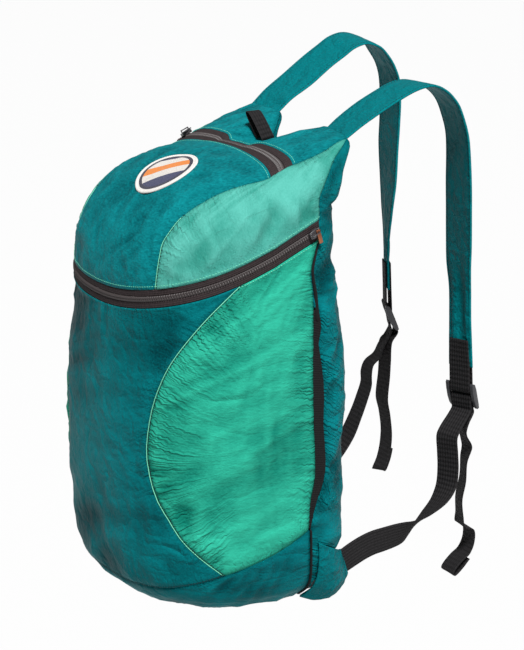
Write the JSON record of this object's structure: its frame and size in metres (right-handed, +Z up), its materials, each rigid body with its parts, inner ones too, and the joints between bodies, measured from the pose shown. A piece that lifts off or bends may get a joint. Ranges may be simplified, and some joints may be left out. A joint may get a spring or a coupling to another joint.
{
  "type": "packable backpack",
  "caption": "Thin soft backpack with a rounded sack, leaf-shaped side panels, a rising main zip, a zip over the crown and arched flat shoulder straps with webbing tails.",
  "frame": {"origin": "the point midway between the crowns of the two shoulder straps, at the height of their undersides, where the wearer's shoulders carry them", "axes": "+Z up, -Y the sack's front face, +Y towards the wearer, +X the right of a person looking at the front face"},
  "size_m": [0.2752, 0.4135, 0.5567],
  "materials": {
    "teal_cloth": "thin ripstop nylon, soft satin sheen, finely crinkled",
    "strap_cloth": "folded ripstop nylon, stitched along both edges",
    "mint_cloth": "thin ripstop nylon, soft satin sheen, puckered at the seams",
    "seam_tape": "plain woven binding tape, matt",
    "zip_tape": "woven zip tape, matt",
    "zip_coil": "nylon zip coil",
    "slider_metal": "black enamelled zinc",
    "pull_metal": "copper-coloured enamel, slightly glossy",
    "patch": "woven patch with a raised edge and plain diagonal bands",
    "webbing": "ribbed polypropylene webbing, matt",
    "lock_plastic": "moulded acetal, semi-gloss"
  },
  "bodies": {
    "root": {"front_panel": "teal_cloth", "back_panel": "teal_cloth", "bottom_panel": "teal_cloth", "lid_front_panel": "teal_cloth", "yoke_panel": "teal_cloth", "corner_tab_right": "teal_cloth", "corner_tab_left": "teal_cloth", "shoulder_strap_right": "strap_cloth", "shoulder_strap_left": "strap_cloth", "side_panel_right": "mint_cloth", "side_panel_left": "mint_cloth", "lid_side_right": "mint_cloth", "lid_side_left": "mint_cloth", "seam_tape_right": "seam_tape", "seam_tape_left": "seam_tape", "main_zip_tape_lower": "zip_tape", "main_zip_tape_upper": "zip_tape", "pocket_zip_tape_front": "zip_tape", "pocket_zip_tape_rear": "zip_tape", "main_zip_chain": "zip_coil", "pocket_zip_chain": "zip_coil", "main_zip_slider": "slider_metal", "pocket_zip_slider": "slider_metal", "pocket_zip_pull": "slider_metal", "main_zip_pull": "pull_metal", "emblem_patch": "patch", "hang_loop": "webbing", "strap_end_webbing_right": "webbing", "strap_end_webbing_left": "webbing", "adjuster_webbing_right": "webbing", "adjuster_webbing_left": "webbing", "ladder_lock_right": "lock_plastic", "ladder_lock_left": "lock_plastic"}
  },
  "joints": []
}
